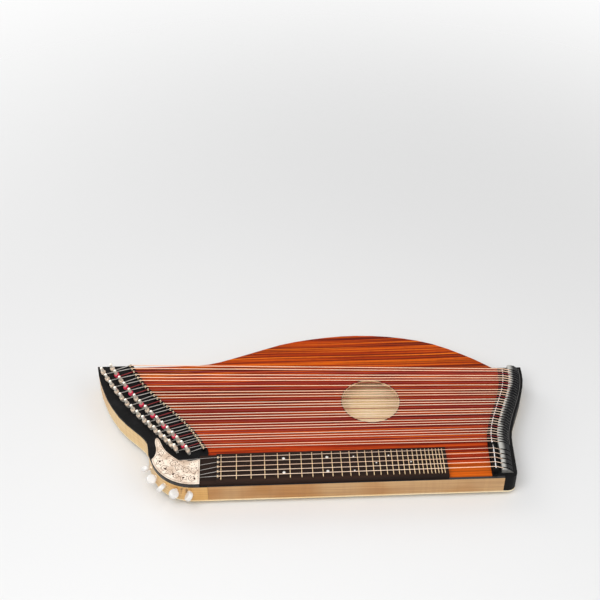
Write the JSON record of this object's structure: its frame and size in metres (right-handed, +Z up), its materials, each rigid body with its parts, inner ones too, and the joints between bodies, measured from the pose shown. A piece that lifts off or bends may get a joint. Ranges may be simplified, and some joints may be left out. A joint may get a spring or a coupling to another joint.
{
  "type": "concert zither",
  "caption": "Concert zither: flat bent-side body with round sound hole, fretted melody strings, fanned open strings, tuning pins, geared head and slotted tail rail.",
  "frame": {"origin": "under the middle of the whole instrument, on the surface that its feet stand on", "axes": "+X along the melody strings from the head to the tail, +Y from the player to the bass side, +Z up"},
  "size_m": [0.7138, 0.3468, 0.0646],
  "materials": {
    "soundboard": "satin varnish, red-brown grain along the strings",
    "pale_wood": "satin varnish, pale maple",
    "black_wood": "satin black stain",
    "fretboard": "oiled dark wood with brass-gold frets",
    "nut": "polished bone white",
    "pin_bridge": "nickel guide pins on a bar",
    "strings": "drawn wire, some wound",
    "rail": "satin cast metal",
    "head_plate": "silvered, engraved all over",
    "brass": "satin brass",
    "buttons": "pearly white with steel shafts",
    "tuning_pins": "nickel plated",
    "feet": "matt black"
  },
  "bodies": {
    "body": {"soundboard": "soundboard", "back_board": "pale_wood", "front_rib": "pale_wood", "bass_rib": "pale_wood", "pin_block": "pale_wood", "pin_block_cover": "black_wood", "tail_block": "black_wood", "fretboard": "fretboard", "nut": "nut", "pin_bridge": "pin_bridge", "tail_bridge": "black_wood", "open_strings": "strings", "melody_strings": "strings", "string_rail": "rail", "head_plate": "head_plate", "gear_frame": "brass", "foot_front_left": "feet", "foot_front_right": "feet", "foot_rear": "feet"},
    "tuning_pin_1": {"tuning_pin_1": "tuning_pins"},
    "tuning_pin_2": {"tuning_pin_2": "tuning_pins"},
    "tuning_pin_3": {"tuning_pin_3": "tuning_pins"},
    "tuning_pin_4": {"tuning_pin_4": "tuning_pins"},
    "tuning_pin_5": {"tuning_pin_5": "tuning_pins"},
    "tuning_pin_6": {"tuning_pin_6": "tuning_pins"},
    "tuning_pin_7": {"tuning_pin_7": "tuning_pins"},
    "tuning_pin_8": {"tuning_pin_8": "tuning_pins"},
    "tuning_pin_9": {"tuning_pin_9": "tuning_pins"},
    "tuning_pin_10": {"tuning_pin_10": "tuning_pins"},
    "tuning_pin_11": {"tuning_pin_11": "tuning_pins"},
    "tuning_pin_12": {"tuning_pin_12": "tuning_pins"},
    "tuning_pin_13": {"tuning_pin_13": "tuning_pins"},
    "tuning_pin_14": {"tuning_pin_14": "tuning_pins"},
    "tuning_pin_15": {"tuning_pin_15": "tuning_pins"},
    "tuning_pin_16": {"tuning_pin_16": "tuning_pins"},
    "tuning_pin_17": {"tuning_pin_17": "tuning_pins"},
    "tuning_pin_18": {"tuning_pin_18": "tuning_pins"},
    "tuning_pin_19": {"tuning_pin_19": "tuning_pins"},
    "tuning_pin_20": {"tuning_pin_20": "tuning_pins"},
    "tuning_pin_21": {"tuning_pin_21": "tuning_pins"},
    "tuning_pin_22": {"tuning_pin_22": "tuning_pins"},
    "tuning_pin_23": {"tuning_pin_23": "tuning_pins"},
    "tuning_pin_24": {"tuning_pin_24": "tuning_pins"},
    "tuning_pin_25": {"tuning_pin_25": "tuning_pins"},
    "tuning_pin_26": {"tuning_pin_26": "tuning_pins"},
    "tuning_pin_27": {"tuning_pin_27": "tuning_pins"},
    "tuning_pin_28": {"tuning_pin_28": "tuning_pins"},
    "tuning_pin_29": {"tuning_pin_29": "tuning_pins"},
    "tuning_pin_30": {"tuning_pin_30": "tuning_pins"},
    "tuning_pin_31": {"tuning_pin_31": "tuning_pins"},
    "tuner_button_1": {"tuner_button_1": "buttons"},
    "worm_wheel_1": {"worm_wheel_1": "brass"},
    "tuner_button_2": {"tuner_button_2": "buttons"},
    "worm_wheel_2": {"worm_wheel_2": "brass"},
    "tuner_button_3": {"tuner_button_3": "buttons"},
    "worm_wheel_3": {"worm_wheel_3": "brass"},
    "tuner_button_4": {"tuner_button_4": "buttons"},
    "worm_wheel_4": {"worm_wheel_4": "brass"},
    "tuner_button_5": {"tuner_button_5": "buttons"},
    "worm_wheel_5": {"worm_wheel_5": "brass"}
  },
  "joints": [
    {"name": "tuning_pin_1_turn", "type": "hinge", "parent": "body", "child": "tuning_pin_1", "pos_m": [-0.32979, 0.09662, 0.0513], "axis": [-0.225, 0, 0.9744], "continuous": true},
    {"name": "tuning_pin_2_turn", "type": "hinge", "parent": "body", "child": "tuning_pin_2", "pos_m": [-0.34461, 0.08902, 0.0513], "axis": [-0.225, 0, 0.9744], "continuous": true},
    {"name": "tuning_pin_3_turn", "type": "hinge", "parent": "body", "child": "tuning_pin_3", "pos_m": [-0.32172, 0.0817, 0.0513], "axis": [-0.225, 0, 0.9744], "continuous": true},
    {"name": "tuning_pin_4_turn", "type": "hinge", "parent": "body", "child": "tuning_pin_4", "pos_m": [-0.33642, 0.07316, 0.0513], "axis": [-0.225, 0, 0.9744], "continuous": true},
    {"name": "tuning_pin_5_turn", "type": "hinge", "parent": "body", "child": "tuning_pin_5", "pos_m": [-0.31338, 0.06696, 0.0513], "axis": [-0.225, 0, 0.9744], "continuous": true},
    {"name": "tuning_pin_6_turn", "type": "hinge", "parent": "body", "child": "tuning_pin_6", "pos_m": [-0.32787, 0.05766, 0.0513], "axis": [-0.225, 0, 0.9744], "continuous": true},
    {"name": "tuning_pin_7_turn", "type": "hinge", "parent": "body", "child": "tuning_pin_7", "pos_m": [-0.30468, 0.05249, 0.0513], "axis": [-0.225, 0, 0.9744], "continuous": true},
    {"name": "tuning_pin_8_turn", "type": "hinge", "parent": "body", "child": "tuning_pin_8", "pos_m": [-0.3189, 0.04259, 0.0513], "axis": [-0.225, 0, 0.9744], "continuous": true},
    {"name": "tuning_pin_9_turn", "type": "hinge", "parent": "body", "child": "tuning_pin_9", "pos_m": [-0.29559, 0.03835, 0.0513], "axis": [-0.225, 0, 0.9744], "continuous": true},
    {"name": "tuning_pin_10_turn", "type": "hinge", "parent": "body", "child": "tuning_pin_10", "pos_m": [-0.30952, 0.02804, 0.0513], "axis": [-0.225, 0, 0.9744], "continuous": true},
    {"name": "tuning_pin_11_turn", "type": "hinge", "parent": "body", "child": "tuning_pin_11", "pos_m": [-0.28615, 0.0246, 0.0513], "axis": [-0.225, 0, 0.9744], "continuous": true},
    {"name": "tuning_pin_12_turn", "type": "hinge", "parent": "body", "child": "tuning_pin_12", "pos_m": [-0.29978, 0.01405, 0.0513], "axis": [-0.225, 0, 0.9744], "continuous": true},
    {"name": "tuning_pin_13_turn", "type": "hinge", "parent": "body", "child": "tuning_pin_13", "pos_m": [-0.27643, 0.01127, 0.0513], "axis": [-0.225, 0, 0.9744], "continuous": true},
    {"name": "tuning_pin_14_turn", "type": "hinge", "parent": "body", "child": "tuning_pin_14", "pos_m": [-0.28979, 0.00065, 0.0513], "axis": [-0.225, 0, 0.9744], "continuous": true},
    {"name": "tuning_pin_15_turn", "type": "hinge", "parent": "body", "child": "tuning_pin_15", "pos_m": [-0.2666, -0.00162, 0.0513], "axis": [-0.225, 0, 0.9744], "continuous": true},
    {"name": "tuning_pin_16_turn", "type": "hinge", "parent": "body", "child": "tuning_pin_16", "pos_m": [-0.27972, -0.01216, 0.0513], "axis": [-0.225, 0, 0.9744], "continuous": true},
    {"name": "tuning_pin_17_turn", "type": "hinge", "parent": "body", "child": "tuning_pin_17", "pos_m": [-0.25683, -0.01406, 0.0513], "axis": [-0.225, 0, 0.9744], "continuous": true},
    {"name": "tuning_pin_18_turn", "type": "hinge", "parent": "body", "child": "tuning_pin_18", "pos_m": [-0.26974, -0.02436, 0.0513], "axis": [-0.225, 0, 0.9744], "continuous": true},
    {"name": "tuning_pin_19_turn", "type": "hinge", "parent": "body", "child": "tuning_pin_19", "pos_m": [-0.24729, -0.02607, 0.0513], "axis": [-0.225, 0, 0.9744], "continuous": true},
    {"name": "tuning_pin_20_turn", "type": "hinge", "parent": "body", "child": "tuning_pin_20", "pos_m": [-0.26003, -0.03597, 0.0513], "axis": [-0.225, 0, 0.9744], "continuous": true},
    {"name": "tuning_pin_21_turn", "type": "hinge", "parent": "body", "child": "tuning_pin_21", "pos_m": [-0.23812, -0.03766, 0.0513], "axis": [-0.225, 0, 0.9744], "continuous": true},
    {"name": "tuning_pin_22_turn", "type": "hinge", "parent": "body", "child": "tuning_pin_22", "pos_m": [-0.25071, -0.04703, 0.0513], "axis": [-0.225, 0, 0.9744], "continuous": true},
    {"name": "tuning_pin_23_turn", "type": "hinge", "parent": "body", "child": "tuning_pin_23", "pos_m": [-0.22943, -0.04886, 0.0513], "axis": [-0.225, 0, 0.9744], "continuous": true},
    {"name": "tuning_pin_24_turn", "type": "hinge", "parent": "body", "child": "tuning_pin_24", "pos_m": [-0.24184, -0.05758, 0.0513], "axis": [-0.225, 0, 0.9744], "continuous": true},
    {"name": "tuning_pin_25_turn", "type": "hinge", "parent": "body", "child": "tuning_pin_25", "pos_m": [-0.22121, -0.05973, 0.0513], "axis": [-0.225, 0, 0.9744], "continuous": true},
    {"name": "tuning_pin_26_turn", "type": "hinge", "parent": "body", "child": "tuning_pin_26", "pos_m": [-0.2334, -0.06768, 0.0513], "axis": [-0.225, 0, 0.9744], "continuous": true},
    {"name": "tuning_pin_27_turn", "type": "hinge", "parent": "body", "child": "tuning_pin_27", "pos_m": [-0.2134, -0.07032, 0.0513], "axis": [-0.225, 0, 0.9744], "continuous": true},
    {"name": "tuning_pin_28_turn", "type": "hinge", "parent": "body", "child": "tuning_pin_28", "pos_m": [-0.22529, -0.07743, 0.0513], "axis": [-0.225, 0, 0.9744], "continuous": true},
    {"name": "tuning_pin_29_turn", "type": "hinge", "parent": "body", "child": "tuning_pin_29", "pos_m": [-0.20585, -0.08074, 0.0513], "axis": [-0.225, 0, 0.9744], "continuous": true},
    {"name": "tuning_pin_30_turn", "type": "hinge", "parent": "body", "child": "tuning_pin_30", "pos_m": [-0.21733, -0.08694, 0.0513], "axis": [-0.225, 0, 0.9744], "continuous": true},
    {"name": "tuning_pin_31_turn", "type": "hinge", "parent": "body", "child": "tuning_pin_31", "pos_m": [-0.19837, -0.09109, 0.0513], "axis": [-0.225, 0, 0.9744], "continuous": true},
    {"name": "tuner_button_1_turn", "type": "hinge", "parent": "body", "child": "tuner_button_1", "pos_m": [-0.1884, -0.08674, 0.0323], "axis": [-0.9659, -0.2588, 0], "continuous": true},
    {"name": "worm_wheel_1_turn", "type": "hinge", "parent": "body", "child": "worm_wheel_1", "pos_m": [-0.24221, -0.1081, 0.0323], "axis": [0, 0, 1], "continuous": true},
    {"name": "tuner_button_2_turn", "type": "hinge", "parent": "body", "child": "tuner_button_2", "pos_m": [-0.1884, -0.08674, 0.0323], "axis": [-0.8453, -0.5344, 0], "continuous": true},
    {"name": "worm_wheel_2_turn", "type": "hinge", "parent": "body", "child": "worm_wheel_2", "pos_m": [-0.23342, -0.12313, 0.0323], "axis": [0, 0, 1], "continuous": true},
    {"name": "tuner_button_3_turn", "type": "hinge", "parent": "body", "child": "tuner_button_3", "pos_m": [-0.1884, -0.08674, 0.0323], "axis": [-0.6481, -0.7615, 0], "continuous": true},
    {"name": "worm_wheel_3_turn", "type": "hinge", "parent": "body", "child": "worm_wheel_3", "pos_m": [-0.22056, -0.13488, 0.0323], "axis": [0, 0, 1], "continuous": true},
    {"name": "tuner_button_4_turn", "type": "hinge", "parent": "body", "child": "tuner_button_4", "pos_m": [-0.1884, -0.08674, 0.0323], "axis": [-0.3923, -0.9198, 0], "continuous": true},
    {"name": "worm_wheel_4_turn", "type": "hinge", "parent": "body", "child": "worm_wheel_4", "pos_m": [-0.2048, -0.14226, 0.0323], "axis": [0, 0, 1], "continuous": true},
    {"name": "tuner_button_5_turn", "type": "hinge", "parent": "body", "child": "tuner_button_5", "pos_m": [-0.1884, -0.08674, 0.0323], "axis": [-0.1011, -0.9949, 0], "continuous": true},
    {"name": "worm_wheel_5_turn", "type": "hinge", "parent": "body", "child": "worm_wheel_5", "pos_m": [-0.18754, -0.14463, 0.0323], "axis": [0, 0, 1], "continuous": true}
  ],
  "couplings": [
    {"joint": "worm_wheel_1_turn", "follows": "tuner_button_1_turn", "ratio": -0.083333},
    {"joint": "worm_wheel_2_turn", "follows": "tuner_button_2_turn", "ratio": -0.083333},
    {"joint": "worm_wheel_3_turn", "follows": "tuner_button_3_turn", "ratio": -0.083333},
    {"joint": "worm_wheel_4_turn", "follows": "tuner_button_4_turn", "ratio": -0.083333},
    {"joint": "worm_wheel_5_turn", "follows": "tuner_button_5_turn", "ratio": -0.083333}
  ]
}
